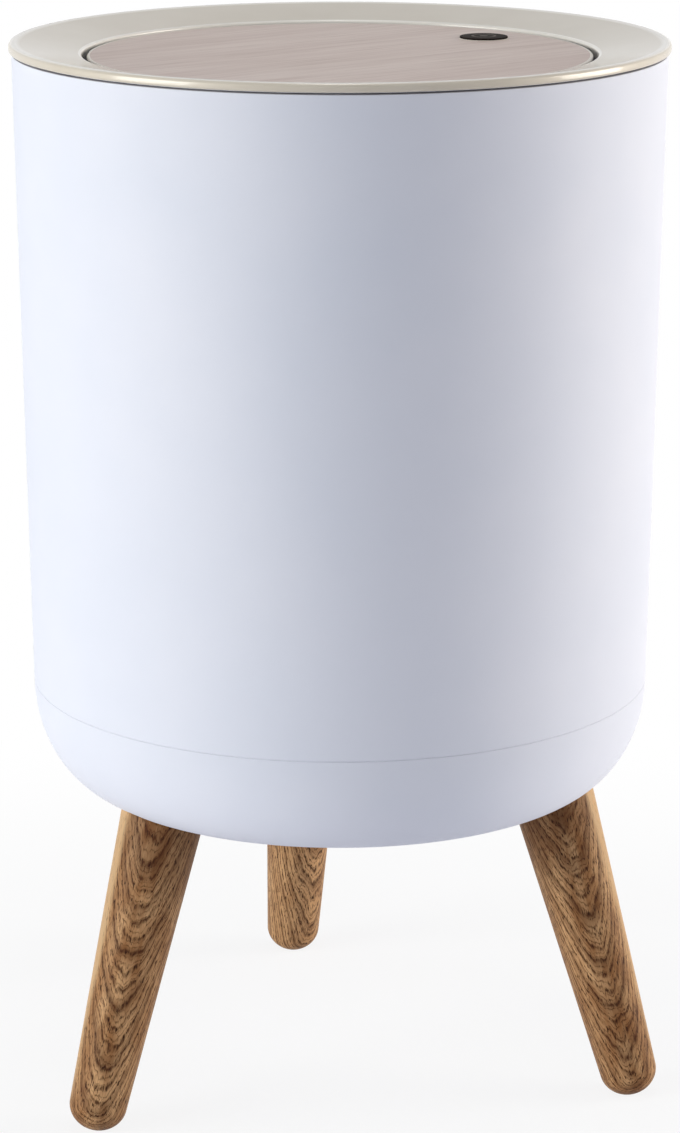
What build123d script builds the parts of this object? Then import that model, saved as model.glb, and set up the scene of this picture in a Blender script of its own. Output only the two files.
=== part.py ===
from build123d import *
import os
from math import cos, hypot, radians, sin, tan

# A push top countertop bin on three splayed legs. Millimetres. The floor is z = 0, the bin's axis
# is Z, the flap is hinged at the rear (+Y) and pressed at the front (-Y).

# ---- outer shell
floor_gap = 112.5               # floor to the underside of the bowl
bowl_height = 39.5              # underside of the bowl to the joint with the barrel
barrel_height = 229.4
barrel_foot_radius = 113.0      # outside, at the joint
barrel_flare = 3.5              # how much wider the barrel's mouth is, each side
barrel_wall = 2.2
bowl_wall = 2.6
bowl_corner = 27.5              # how far the bowl's round corner reaches in
seam_bevel = 0.35               # bevel on both edges of the joint, which leaves a fine line
edge_round = 0.8                # outer edge of the barrel's mouth
spigot_height = 14.0            # collar of the bowl inside the barrel
spigot_wall = 2.0
spigot_root = 9.0               # how far the collar runs down the bowl's wall
snap_count = 6
snap_height = 8.0               # joint to the middle of the snap beads
snap_rise = 0.9                 # how far a bead stands out of the collar
snap_width = 2.4
snap_arc = 14.0                 # degrees
floor_rib_height = 9.0
floor_rib_wall = 1.8
floor_rib_count = 6
floor_hub_radius = 20.0
fit_gap = 0.2                   # between moulded pieces that are pushed together
press_gap = 0.02                # around pins and inserts that are pressed in
cut_over = 1.0                  # how far a cutting shape runs past the face it opens

# ---- legs
leg_splay = 16.54               # degrees from upright
foot_stand = 0.75               # barrel's foot to the centre of a leg's rounded foot, outwards
foot_radius = 10.45
foot_round = 9.5                # length of the rounded foot below its centre
foot_flat = 0.6                 # what the floor face takes off the rounded foot
leg_seat_height = 14.4          # underside of the bowl to the leg's end, on its axis
leg_top_radius = 15.65
leg_edge = 1.0
leg_angles = {"leg_rear": 90, "leg_front_left": 210, "leg_front_right": 330}
pocket_gap = 0.25
pocket_wall = 2.2
pocket_floor = 2.4
pocket_depth = 45.0             # cut length of the pocket, past the bowl's outer face
stud_radius = 4.0
stud_in_leg = 28.0
stud_gap = 0.05
stud_edge = 0.6
stud_short = 1.0                # the stud ends this far below the insert's top
insert_radius = 5.6
insert_length = 11.0
insert_wall = 3.9               # wall of the boss round the insert
insert_cover = 8.1              # insert to the top of its boss

# ---- liner
liner_drop = 32.0               # mouth of the barrel to the liner's rim
liner_foot_room = 17.0          # outside of the barrel's foot to the liner's foot
liner_top_room = 12.5           # outside of the barrel's mouth to the liner's top
liner_wall = 1.8
liner_floor = 2.0
liner_corner = 8.0
flange_reach = 8.0              # rim flange, out from the liner's wall
flange_lip = 7.0                # height of the flange's turned-down edge
hand_slot_width = 64.0
hand_slot_height = 18.0
hand_slot_drop = 11.0           # liner's rim to the top of the hand slot
hand_slot_corner = 4.5

# ---- trim ring
rim_proud = 1.0                 # the ring's bead stands this far out of the barrel's mouth
ring_rise = 3.6                 # crest of the ring above the barrel's mouth
ring_width = 25.8               # bead to the opening for the flap
bead_gap = 0.5                  # shadow gap between the ring's bead and the barrel
bead_round = 1.5
crest_inset = 2.1               # bead to the crest of the ring's face
dish_depth = 4.4                # fall of the ring's face from its crest to its lip
lip_wall = 3.0
lip_depth = 3.2
lip_round = 1.0
ring_wall = 2.2
ring_post_count = 6
ring_post_radius = 3.2
ring_post_length = 7.5

# ---- lid frame
frame_wall = 1.8
deck_wall = 2.0
lid_gap = 0.7                   # skirt to the inside of the barrel
skirt_depth = 27.0              # mouth of the barrel to the skirt's lower edge
rest_gap = 0.2                  # frame's flange over the barrel's edge
flange_inset = 0.7              # outside of the barrel's mouth to the flange's edge
throat_inset = 10.5             # ring's opening to the outside of the throat
throat_round = 1.0
ledge_wall = 2.0
ledge_gap = 0.9                 # pressed flap over the ledge
boss_wall = 1.9
boss_floor = 1.6

# ---- flap
flap_gap = 1.8                  # between the flap and the ring
flap_drop = 0.7                 # lip of the ring above the flap
panel_thickness = 2.4
panel_round = 0.6
panel_bevel = 1.5               # lower edge, which swings past the ring's lip
panel_post_count = 4
panel_post_inset = 29.0         # flap's edge to the posts
panel_post_radius = 2.8
panel_post_length = 4.2
tray_inset = 2.8                # panel's edge to the tray's edge
tray_plate = 2.0
tray_depth = 4.5
tray_rib_wall = 1.6
tray_rib_count = 12
tray_hub_radius = 16.0
tray_ring_inset = 38.2          # tray's edge to its round rib
badge_radius = 9.2
badge_inset = 21.4              # flap's edge to the middle of the press mark
badge_thickness = 1.2
badge_proud = 0.2
badge_gap = 0.1
badge_edge = 0.3
badge_stem_radius = 1.5

# ---- hinge
hinge_setback = 11.0            # ring's opening to the hinge's axis
hinge_drop = 9.0                # flap's top to the hinge's axis
pin_radius = 1.5
pin_head_radius = 2.6
pin_head = 1.0
pin_gap = 0.06                  # running clearance of the arms on the pin
knuckle_radius = 4.5
arm_clearance = 1.5             # goose-neck arms to the ring's lip, which they swing round
arm_depth = 4.3
arm_start = 163.0               # degrees, where the arc leaves the tray
arm_steps = 3
arm_half_gap = 9.5              # half the space between the two arms
arm_width = 5.0
cheek_side_gap = 5.5            # arms to the frame's cheeks
cheek_width = 3.0
cheek_foot = 4.0                # skirt's lower edge to the cheeks' lower edge
cheek_gap = 1.0                 # pocket in front of the arms' sweep
pocket_rear = 3.0               # pocket behind the hinge's axis
press_angle = 0.8               # degrees that the closed flap can be pressed
spring_wire = 0.45              # radius
spring_touch = 0.15             # spring's leg to the tie bar that it pushes
spring_end_gap = 0.3            # spring's leg to the skirt
spring_turns = 4
spring_pitch = 1.5

# ---- soft stops
buffer_inset = 1.0              # tray's edge to the middle of a buffer
buffer_radius = 3.0
buffer_stem_radius = 1.6
buffer_gap = 0.25
buffer_dome_share = 0.45        # rounded part of the height that stands over the ledge
buffer_angles = (0, 180, 222, 318)

# ---- latch
latch_inset = 9.0               # flap's edge to the middle of the latch
latch_travel = 5.0              # how far the freed slider springs up
latch_clearance = 0.3
stem_width = 4.0
stem_length = 9.5
striker_plate = 2.0
striker_plate_width = 20.0
striker_plate_depth = 7.0
striker_skin = 0.4              # plastic left over the striker screws
head_width = 7.5
head_height = 3.5
head_taper = 1.5
slider_width = 17.0
slider_depth = 9.0
slider_height = 14.0
slider_edge = 0.6
slider_bore_depth = 9.0
slider_bore_back = 1.0          # spring bore behind the slider's middle
groove_depth = 1.3
groove_width = 1.7
heart_width = 7.4
heart_height = 9.6
jaw_base = 2.4
jaw_wall = 1.5
jaw_depth = 5.0
jaw_gap = 0.5                   # arms of the jaws to the striker's head
jaw_lift = 0.1                  # striker's head to the barbs over it
barb_height = 1.5
barb_gap = 0.5                  # barbs to the striker's stem
jaw_pad_width = 4.0
housing_wall = 1.6
housing_floor = 1.6
housing_edge = 1.0
slide_gap = 0.3
channel_depth = 1.4             # room for the cam pin in front of the slider
channel_side = 0.8              # heart's edge to the channel's side
housing_ear = 2.0
ear_boss_radius = 3.2
ear_boss_height = 12.0
shelf_overhang = 7.5            # middle of the latch to the edge of the shelf over it
shelf_side = 2.2                # housing's ears to the shelf's sides
slot_side_gap = 2.0             # jaws to the shelf's slot, sideways
slot_end_gap = 1.25
spring_room = 3.0               # free travel left under the pressed slider
latch_coil_radius = 2.0
latch_coil_wire = 0.3
latch_coil_gap = 0.3
latch_coil_turns = 6
cam_wire = 0.5                  # radius
cam_gap = 0.3                   # cam pin's tip to the groove

# ---- screws
ring_screw = {"shank": 1.3, "head": 3.0, "head_height": 1.8, "length": 8.5}
flap_screw = {"shank": 1.1, "head": 2.6, "head_height": 1.5, "length": 4.5}
striker_screw = {"shank": 1.1, "head": 2.3, "head_height": 1.0, "length": 3.4}
latch_screw = {"shank": 1.3, "head": 2.6, "head_height": 1.5, "length": 10.0}
screw_edge = 0.6                # rounding bevel of a pan head
screw_slot = 0.8                # width of the cross in a head
screw_slot_share = 0.55         # cross, of the head's radius
screw_gap = 0.02
screw_hole_gap = 0.3
bore_spare = 2.0                # empty bore past a long screw's tip

# ---- radii that follow
barrel_top_radius = barrel_foot_radius + barrel_flare
flat_radius = barrel_foot_radius - bowl_corner
foot_reach = barrel_foot_radius + foot_stand
boss_radius = insert_radius + insert_wall
liner_foot_radius = barrel_foot_radius - liner_foot_room
liner_top_radius = barrel_top_radius - liner_top_room
rim_radius = barrel_top_radius + rim_proud
mouth_radius = rim_radius - ring_width
crest_radius = rim_radius - crest_inset
flange_radius = barrel_top_radius - flange_inset
ring_post_reach = (mouth_radius + rim_radius) / 2
throat_radius = mouth_radius - throat_inset
flap_radius = mouth_radius - flap_gap
panel_post_reach = flap_radius - panel_post_inset
badge_reach = flap_radius - badge_inset
tray_radius = flap_radius - tray_inset
tray_ring_radius = tray_radius - tray_ring_inset
buffer_reach = tray_radius - buffer_inset
latch_reach = flap_radius - latch_inset
hinge_reach = mouth_radius + hinge_setback
cheek_half_gap = arm_half_gap + arm_width + cheek_side_gap
slider_bore_radius = latch_coil_radius + latch_coil_wire + latch_coil_gap
ear_reach = slider_width / 2 + slide_gap + housing_wall + ear_boss_radius
shelf_half_width = ear_reach + ear_boss_radius + shelf_side
jaw_inner = head_width / 2 + jaw_gap
jaw_outer = jaw_inner + jaw_wall

# ---- levels that follow
seam_z = floor_gap + bowl_height
mouth_z = seam_z + barrel_height
crest_z = mouth_z + ring_rise
lip_z = crest_z - dish_depth
liner_floor_z = floor_gap + leg_seat_height + insert_length + insert_cover
liner_rim_z = mouth_z - liner_drop
flap_z = lip_z - flap_drop
tray_z = flap_z - panel_thickness
plate_z = tray_z - tray_plate
tray_foot_z = tray_z - tray_depth
hinge_z = flap_z - hinge_drop
press_fall = (hinge_reach + tray_radius) * sin(radians(press_angle))
ledge_z = tray_foot_z - press_fall - ledge_gap
ledge_foot_z = ledge_z - ledge_wall
skirt_z = mouth_z - skirt_depth
striker_z = plate_z - striker_plate
head_z = striker_z - stem_length
head_foot_z = head_z - head_height
slider_z = head_foot_z - press_fall - latch_travel - latch_clearance
slider_foot_z = slider_z - slider_height
slider_middle_z = (slider_z + slider_foot_z) / 2
housing_floor_z = slider_foot_z - press_fall - spring_room
housing_foot_z = housing_floor_z - housing_floor

# ---- the goose-neck arms clear the upper corner of the ring's lip
arm_inner = hypot(hinge_setback, lip_z - hinge_z) + arm_clearance
arm_outer = arm_inner + arm_depth
spring_radius = arm_depth / 2 + spring_wire + spring_touch

# ---- the leg's own length, from the centre of its rounded foot to its end in the pocket
foot_dip = hypot(foot_round * cos(radians(leg_splay)), foot_radius * sin(radians(leg_splay)))
foot_z = foot_dip - foot_flat
leg_length = (floor_gap + leg_seat_height - foot_z) / cos(radians(leg_splay))


def outline(*corners):
    # A closed face in the radius-height plane. A third value rounds its corner.
    spots = [Vector(corner[0], 0, corner[1]) for corner in corners]
    bends = []
    for i, corner in enumerate(corners):
        here = spots[i]
        back = (spots[i - 1] - here).normalized()
        ahead = (spots[(i + 1) % len(spots)] - here).normalized()
        if len(corner) < 3:
            bends.append((here, None, here))
            continue
        half = radians(back.get_angle(ahead)) / 2
        reach = corner[2] / tan(half)
        middle = here + (back + ahead).normalized() * (corner[2] / sin(half) - corner[2])
        bends.append((here + back * reach, middle, here + ahead * reach))
    edges = []
    for i, (start, middle, end) in enumerate(bends):
        edges.append(Edge.make_line(bends[i - 1][2], start))
        if middle is not None:
            edges.append(Edge.make_three_point_arc(start, middle, end))
    return Face(Wire(edges))


def turned(*corners, arc=360, start=0):
    return Rot(0, 0, start) * revolve(outline(*corners), axis=Axis.Z, revolution_arc=arc)


def upright(radius, low, high, x=0, y=0):
    # A cylinder along Z between two levels.
    height = high - low
    return Pos(x, y, low + height / 2) * Cylinder(radius, height)


def block(x, y, z):
    # A box given by its (low, high) along each axis.
    spans = [high - low for low, high in (x, y, z)]
    return Pos(*[sum(pair) / 2 for pair in (x, y, z)]) * Box(*spans)


def around(shape, count, start=0):
    return [Rot(0, 0, start + 360 / count * i) * shape for i in range(count)]


def shell_radius(z):
    # Outside of the tapered barrel at a level.
    return barrel_foot_radius + (barrel_top_radius - barrel_foot_radius) * (z - seam_z) / barrel_height


def ring_underside(radius):
    slope = dish_depth / (crest_radius - mouth_radius)
    return crest_z - (crest_radius - radius) * slope - ring_wall


def outer_barrel():
    inside_foot = barrel_foot_radius - barrel_wall
    inside_top = barrel_top_radius - barrel_wall
    shell = turned(
        (barrel_foot_radius - seam_bevel, seam_z),
        (shell_radius(seam_z + seam_bevel), seam_z + seam_bevel),
        (barrel_top_radius, mouth_z, edge_round), (inside_top, mouth_z), (inside_foot, seam_z))
    # groove for the bowl's snap beads
    middle = seam_z + snap_height
    half = snap_width / 2 + fit_gap
    depth = inside_foot + snap_rise
    inner = inside_foot - cut_over
    groove = turned((inner, middle - half), (depth, middle - half), (depth, middle + half),
                    (inner, middle + half))
    return shell - groove


def bowl_side(inset):
    # The bowl's round corner, from its flat underside up to the joint.
    return Plane.XZ * EllipticalCenterArc((flat_radius, seam_z), bowl_corner - inset,
                                          bowl_height - inset, 270, arc_size=90)


def bowl_solid(inset):
    side = bowl_side(inset)
    low, high = side @ 0, side @ 1
    axis_low, axis_high = Vector(0, 0, low.Z), Vector(0, 0, high.Z)
    edges = [Edge.make_line(axis_low, low), *side.edges(),
             Edge.make_line(high, axis_high), Edge.make_line(axis_high, axis_low)]
    return revolve(Face(Wire(edges)), axis=Axis.Z)


def leg_place(angle):
    # Frame of a leg: its origin is the centre of the rounded foot, its Z runs up the leg.
    return Rot(0, 0, angle) * Pos(foot_reach, 0, foot_z) * Rot(0, -leg_splay, 0)


def leg_radius(along):
    return foot_radius + (leg_top_radius - foot_radius) * along / leg_length


def leg_cone(grown, low, high):
    return turned((0, low), (leg_radius(low) + grown, low), (leg_radius(high) + grown, high), (0, high))


def leg(angle):
    foot = Plane.XZ * EllipticalCenterArc((0, 0), foot_radius, foot_round, 270, arc_size=90)
    rim, seat = leg_top_radius - leg_edge, leg_length - leg_edge
    path = [foot @ 1, Vector(leg_radius(seat), 0, seat), Vector(rim, 0, leg_length),
            Vector(0, 0, leg_length), foot @ 0]
    edges = [*foot.edges(), *[Edge.make_line(a, b) for a, b in zip(path, path[1:])]]
    turned_leg = revolve(Face(Wire(edges)), axis=Axis.Z)
    turned_leg -= upright(stud_radius + stud_gap, leg_length - stud_in_leg, leg_length)
    above_floor = upright(2 * foot_reach, 0, seam_z)
    return (leg_place(angle) * turned_leg) & above_floor


def base_bowl():
    shell = bowl_solid(0) - bowl_solid(bowl_wall)
    spigot = barrel_foot_radius - barrel_wall - fit_gap
    # bevel at the joint, then the collar and its snap beads
    past = barrel_foot_radius + cut_over
    bevel = turned((barrel_foot_radius - seam_bevel, seam_z), (past, seam_z),
                   (past, seam_z - seam_bevel - cut_over))
    collar = turned((spigot - spigot_wall, seam_z - spigot_root), (spigot, seam_z - spigot_root),
                    (spigot, seam_z + spigot_height), (spigot - spigot_wall, seam_z + spigot_height))
    middle = seam_z + snap_height
    root, crown = spigot - spigot_wall / 2, spigot + snap_rise
    bead = turned((root, middle - snap_width / 2), (spigot, middle - snap_width / 2),
                  (crown, middle - snap_width / 4), (crown, middle + snap_width / 4),
                  (spigot, middle + snap_width / 2), (root, middle + snap_width / 2),
                  arc=snap_arc, start=-snap_arc / 2)
    # leg pockets, their bosses and the floor ribs, all held inside the bowl
    inner_z = floor_gap + bowl_wall / 2
    rib_z = floor_gap + bowl_wall + floor_rib_height
    inside = [upright(floor_hub_radius + floor_rib_wall, inner_z, rib_z)
              - upright(floor_hub_radius, inner_z, rib_z)]
    rib = block((floor_hub_radius, flat_radius), (-floor_rib_wall / 2, floor_rib_wall / 2),
                (inner_z, rib_z))
    inside += around(rib, floor_rib_count, leg_angles["leg_rear"])
    cuts = []
    for angle in leg_angles.values():
        place = leg_place(angle)
        top = leg_length + pocket_floor
        inside.append(place * leg_cone(pocket_gap + pocket_wall, leg_length - pocket_depth, top))
        inside.append(place * upright(boss_radius, leg_length, leg_length + bowl_height))
        cuts.append(place * leg_cone(pocket_gap, leg_length - pocket_depth, leg_length))
        cuts.append(place * upright(insert_radius + press_gap, leg_length - cut_over,
                                    leg_length + insert_length))
    envelope = bowl_solid(bowl_wall / 2) & upright(barrel_foot_radius, floor_gap, liner_floor_z)
    furniture = [shape & envelope for shape in inside]
    bowl = shell - bevel + collar + around(bead, snap_count) + furniture
    return bowl - cuts


def leg_stud(angle):
    top = leg_length + insert_length - stud_short
    stud = upright(stud_radius, leg_length - stud_in_leg, top)
    return leg_place(angle) * chamfer(stud.edges(), stud_edge)


def leg_insert(angle):
    insert = upright(insert_radius, leg_length, leg_length + insert_length)
    insert -= upright(stud_radius + stud_gap, leg_length, leg_length + insert_length)
    return leg_place(angle) * insert


def liner_bucket():
    wall = liner_wall
    flange = liner_top_radius + flange_reach
    bucket = turned(
        (0, liner_floor_z), (liner_foot_radius, liner_floor_z, liner_corner),
        (liner_top_radius, liner_rim_z - wall), (flange - wall, liner_rim_z - wall),
        (flange - wall, liner_rim_z - flange_lip), (flange, liner_rim_z - flange_lip),
        (flange, liner_rim_z, wall), (liner_top_radius - wall, liner_rim_z),
        (liner_foot_radius - wall, liner_floor_z + liner_floor, liner_corner - wall),
        (0, liner_floor_z + liner_floor))
    top = liner_rim_z - hand_slot_drop
    slot = RectangleRounded(hand_slot_width, hand_slot_height, hand_slot_corner)
    across = Plane(origin=(0, 0, top - hand_slot_height / 2), x_dir=(0, 1, 0), z_dir=(1, 0, 0))
    return bucket - extrude(across * slot, amount=flange, both=True)


def ring_post_places():
    step = 360 / ring_post_count
    return [Rot(0, 0, step * i) * Pos(ring_post_reach, 0, 0) for i in range(ring_post_count)]


ring_post_z = ring_underside(ring_post_reach) - ring_post_length


def lid_ring():
    bead_z = mouth_z + bead_gap
    lip_outer = mouth_radius + lip_wall
    seat = flange_radius + fit_gap
    ring = turned(
        (mouth_radius, lip_z - lip_depth), (mouth_radius, lip_z, lip_round),
        (crest_radius, crest_z, bead_round), (rim_radius, crest_z, bead_round),
        (rim_radius, bead_z, bead_round / 2), (seat, bead_z),
        (seat, ring_underside(crest_radius)), (crest_radius, ring_underside(crest_radius)),
        (lip_outer, ring_underside(lip_outer)), (lip_outer, lip_z - lip_depth))
    post = upright(ring_post_radius, ring_post_z, ring_underside(ring_post_reach) + ring_wall / 2)
    bore = upright(ring_screw["shank"] + screw_gap, ring_post_z,
                   ring_post_z + ring_screw["length"] - boss_floor)
    places = ring_post_places()
    return ring + [place * post for place in places] - [place * bore for place in places]


def screw(kind, seat_z, flat=False):
    # Head below seat_z, shank up from it. A flat head's cone ends at seat_z.
    low = seat_z - kind["head_height"]
    middle = seat_z - kind["head_height"] / 2
    shank = upright(kind["shank"], middle, seat_z + kind["length"])
    if flat:
        head = turned((0, low), (kind["head"], low), (kind["shank"], seat_z), (0, seat_z))
    else:
        head = turned((0, low), (kind["head"] - screw_edge, low), (kind["head"], low + screw_edge),
                      (kind["head"], seat_z), (0, seat_z))
    arm = kind["head"] * screw_slot_share
    bar = block((-arm, arm), (-screw_slot / 2, screw_slot / 2), (low, middle))
    return head + shank - bar - Rot(0, 0, 90) * bar


def lid_underframe():
    well = mouth_radius + lip_wall + fit_gap
    flange_z = mouth_z + rest_gap

    def skirt(z):
        return shell_radius(z) - barrel_wall - lid_gap

    def deck(radius):
        return ring_underside(radius) - deck_wall

    crest_low = ring_underside(crest_radius)
    frame = turned(
        (well, ring_underside(well)), (crest_radius, crest_low), (flange_radius, crest_low),
        (flange_radius, flange_z), (skirt(flange_z), flange_z), (skirt(skirt_z), skirt_z),
        (skirt(skirt_z) - frame_wall, skirt_z),
        (skirt(flange_z) - frame_wall, deck(skirt(flange_z) - frame_wall)),
        (well + frame_wall, deck(well + frame_wall)), (well + frame_wall, ledge_foot_z),
        (throat_radius, ledge_foot_z), (throat_radius, skirt_z), (throat_radius - frame_wall, skirt_z),
        (throat_radius - frame_wall, ledge_z, throat_round), (well, ledge_z))
    # cheeks and bosses stay between the well and the skirt, under the deck
    inner = throat_radius - frame_wall / 2
    room = turned(
        (inner, skirt_z), (skirt(skirt_z) - frame_wall / 2, skirt_z),
        (skirt(flange_z) - frame_wall / 2, deck(skirt(flange_z)) + deck_wall / 2),
        (well + frame_wall / 2, deck(well) + deck_wall / 2),
        (well + frame_wall / 2, ledge_z - ledge_wall / 2), (inner, ledge_z - ledge_wall / 2))
    # pocket that the hinge arms swing through
    pocket_front = hinge_reach - arm_outer - cheek_gap
    frame -= block((-cheek_half_gap, cheek_half_gap),
                   (pocket_front, hinge_reach + pocket_rear + knuckle_radius),
                   (skirt_z - cut_over, deck(well) - fit_gap))
    for side in (-1, 1):
        low, high = sorted((side * cheek_half_gap, side * (cheek_half_gap + cheek_width)))
        cheek = block((low, high), (0, flange_radius), (skirt_z + cheek_foot, mouth_z))
        frame += cheek & room
    # bosses that take the ring's posts
    boss = upright(ring_post_radius + fit_gap + boss_wall, ring_post_z - boss_floor, mouth_z)
    bore = upright(ring_post_radius + fit_gap, ring_post_z, crest_z)
    bore += upright(ring_screw["shank"] + screw_hole_gap, skirt_z, crest_z)
    places = ring_post_places()
    frame += [(place * boss) & room for place in places]
    frame -= [place * bore for place in places]
    # shelf over the latch, with the hole that the striker and the jaws pass through
    across, edge = (-shelf_half_width, shelf_half_width), (-well, -latch_reach + shelf_overhang)
    slot_half, slot_reach = jaw_outer + slot_side_gap, jaw_depth / 2 + slot_end_gap
    frame += block(across, edge, (ledge_foot_z, ledge_z))
    frame -= block((-slot_half, slot_half), (-latch_reach - slot_reach, -latch_reach + slot_reach),
                   (ledge_foot_z, ledge_z))
    frame -= block(across, edge, (skirt_z - cut_over, ledge_foot_z))
    hole = turned((0, 0), (latch_screw["head"] + screw_hole_gap, 0),
                  (latch_screw["shank"] + screw_hole_gap, -latch_screw["head_height"]),
                  (latch_screw["shank"] + screw_hole_gap, -ledge_wall), (0, -ledge_wall))
    frame -= [screw_place(x) * hole for x in (-ear_reach, ear_reach)]
    frame -= [place_buffer(angle) * upright(buffer_stem_radius + press_gap, ledge_foot_z, ledge_z)
              for angle in buffer_angles]
    return frame - hinge_bore(press_gap)


def hinge_bore(gap):
    half = cheek_half_gap + cheek_width + cut_over
    return Pos(0, hinge_reach, hinge_z) * Rot(0, 90, 0) * Cylinder(pin_radius + gap, 2 * half)


def place_buffer(angle):
    return Rot(0, 0, angle) * Pos(buffer_reach, 0, 0)


def flap_buffer(angle):
    # Its top is just under where the pressed flap's rim stops.
    y = buffer_reach * sin(radians(angle)) - buffer_radius
    fall = (hinge_reach - y) * sin(radians(press_angle))
    top = tray_foot_z - fall - buffer_gap
    dome = upright(buffer_radius, ledge_z, top)
    dome = fillet(dome.edges().group_by(Axis.Z)[-1], (top - ledge_z) * buffer_dome_share)
    return place_buffer(angle) * (dome + upright(buffer_stem_radius, ledge_foot_z, ledge_z))


def hinge_pin():
    half = cheek_half_gap + cheek_width
    place = Pos(0, hinge_reach, hinge_z) * Rot(0, 90, 0)
    head = Pos(0, 0, -half - pin_head / 2) * Cylinder(pin_head_radius, pin_head)
    return place * (Cylinder(pin_radius, 2 * half) + head)


def hinge_spring():
    # Torsion spring round the pin: one leg bears on the arms' tie bar, one on the skirt.
    length = spring_turns * spring_pitch
    place = Pos(-length / 2, hinge_reach, hinge_z) * Rot(0, 90, 0)
    # local axes: x is down, y is rearward, z is along the pin
    start = Vector(0, spring_radius, 0)
    coil = Rot(0, 0, 90) * Edge.make_helix(spring_pitch, length + spring_pitch / 4, spring_radius)
    tie_end = Vector((arm_inner + arm_outer) / 2, spring_radius, 0)
    end = coil @ 1
    rear = shell_radius(hinge_z) - barrel_wall - lid_gap - frame_wall - hinge_reach - spring_end_gap
    wall_end = Vector(end.X, rear, end.Z)
    section = Plane(origin=coil @ 0, z_dir=coil % 0) * Circle(spring_wire)
    body = sweep(section, path=Wire([coil]), is_frenet=True)
    legs = [rod(tie_end, start, spring_wire), rod(end, wall_end, spring_wire)]
    ends = [Pos(*start) * Sphere(spring_wire), Pos(*end) * Sphere(spring_wire)]
    return place * (body + legs + ends)


def rod(start, end, radius):
    plane = Plane(origin=start, z_dir=end - start)
    return extrude(plane * Circle(radius), amount=(end - start).length)


def flap_panel():
    panel = turned(
        (0, tray_z), (flap_radius - panel_bevel, tray_z), (flap_radius, tray_z + panel_bevel),
        (flap_radius, flap_z, panel_round), (0, flap_z))
    seat = badge_radius + badge_gap
    panel -= upright(seat, flap_z + badge_proud - badge_thickness, flap_z + cut_over, y=-badge_reach)
    panel -= upright(badge_stem_radius + badge_gap, tray_z, flap_z, y=-badge_reach)
    post_z = tray_z - panel_post_length
    post = upright(panel_post_radius, post_z, tray_z + panel_thickness / 2)
    bore = upright(flap_screw["shank"] + screw_gap, post_z, post_z + flap_screw["length"] - boss_floor)
    places = panel_post_places()
    return panel + [place * post for place in places] - [place * bore for place in places]


def panel_post_places():
    step = 360 / panel_post_count
    return [Rot(0, 0, step / 2 + step * i) * Pos(panel_post_reach, 0, 0) for i in range(panel_post_count)]


def push_badge():
    base = flap_z + badge_proud - badge_thickness
    disc = upright(badge_radius, base, flap_z + badge_proud)
    disc = chamfer(disc.edges().group_by(Axis.Z)[-1], badge_edge)
    return Pos(0, -badge_reach, 0) * (disc + upright(badge_stem_radius, tray_z, base))


def flap_tray():
    rim_inner = tray_radius - tray_rib_wall
    tray = turned((0, plate_z), (rim_inner, plate_z), (rim_inner, tray_foot_z),
                  (tray_radius, tray_foot_z), (tray_radius, tray_z), (0, tray_z))
    inside = upright(tray_radius - tray_rib_wall / 2, tray_foot_z, tray_z)
    for radius in (tray_hub_radius, tray_ring_radius):
        tray += (upright(radius, tray_foot_z, plate_z)
                 - upright(radius - tray_rib_wall, tray_foot_z, plate_z))
    rib = block((tray_hub_radius - tray_rib_wall / 2, tray_radius), (-tray_rib_wall / 2, tray_rib_wall / 2),
                (tray_foot_z, plate_z))
    tray += [shape & inside for shape in around(rib, tray_rib_count, 180 / tray_rib_count)]
    # screw bosses round the panel's posts
    post_z = tray_z - panel_post_length
    boss = upright(panel_post_radius + fit_gap + boss_wall, post_z - boss_floor, tray_z)
    bore = upright(panel_post_radius + fit_gap, post_z, tray_z)
    bore += upright(flap_screw["shank"] + screw_hole_gap, post_z - boss_floor, tray_z)
    places = panel_post_places()
    tray = tray + [place * boss for place in places] - [place * bore for place in places]
    # seat of the striker
    half_width, half_depth = striker_plate_width / 2 + fit_gap, striker_plate_depth / 2 + fit_gap
    tray -= block((-half_width, half_width), (-latch_reach - half_depth, -latch_reach + half_depth),
                  (tray_foot_z - cut_over, plate_z))
    tray -= striker_bores(plate_z, tray_z - striker_skin)
    return tray + hinge_arms() - hinge_bore(pin_gap)


def striker_bores(low, high):
    return [upright(striker_screw["shank"] + screw_gap, low, high, x=x, y=-latch_reach)
            for x in striker_screw_places()]


def hinge_arms():
    # Two goose-neck arms: an arc about the hinge's axis, a web up to the knuckle, and a tie bar.
    sector = Circle(arm_outer) - Circle(arm_inner)
    turns = [radians(arm_start + (270 - arm_start) * i / arm_steps) for i in range(arm_steps + 1)]
    wedge = Polygon((0, 0), *[(2 * arm_outer * cos(turn), 2 * arm_outer * sin(turn)) for turn in turns],
                    align=None)
    web = Pos(0, -arm_outer / 2) * Rectangle(arm_depth, arm_outer)
    shape = ((sector & wedge) + web + Circle(knuckle_radius)) & Circle(arm_outer)
    tie = sector & web
    side_view = Plane(origin=(0, hinge_reach, hinge_z), x_dir=(0, 1, 0), z_dir=(1, 0, 0))
    arms = []
    for side in (-1, 1):
        near = side * arm_half_gap
        arms.append(Pos(near, 0, 0) * extrude(side_view * shape, amount=side * arm_width))
    bar = extrude(side_view * tie, amount=arm_half_gap + arm_width / 2, both=True)
    return arms[0] + arms[1] + bar


def striker_screw_places():
    reach = (striker_plate_width + head_width) / 4
    return (-reach, reach)


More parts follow.
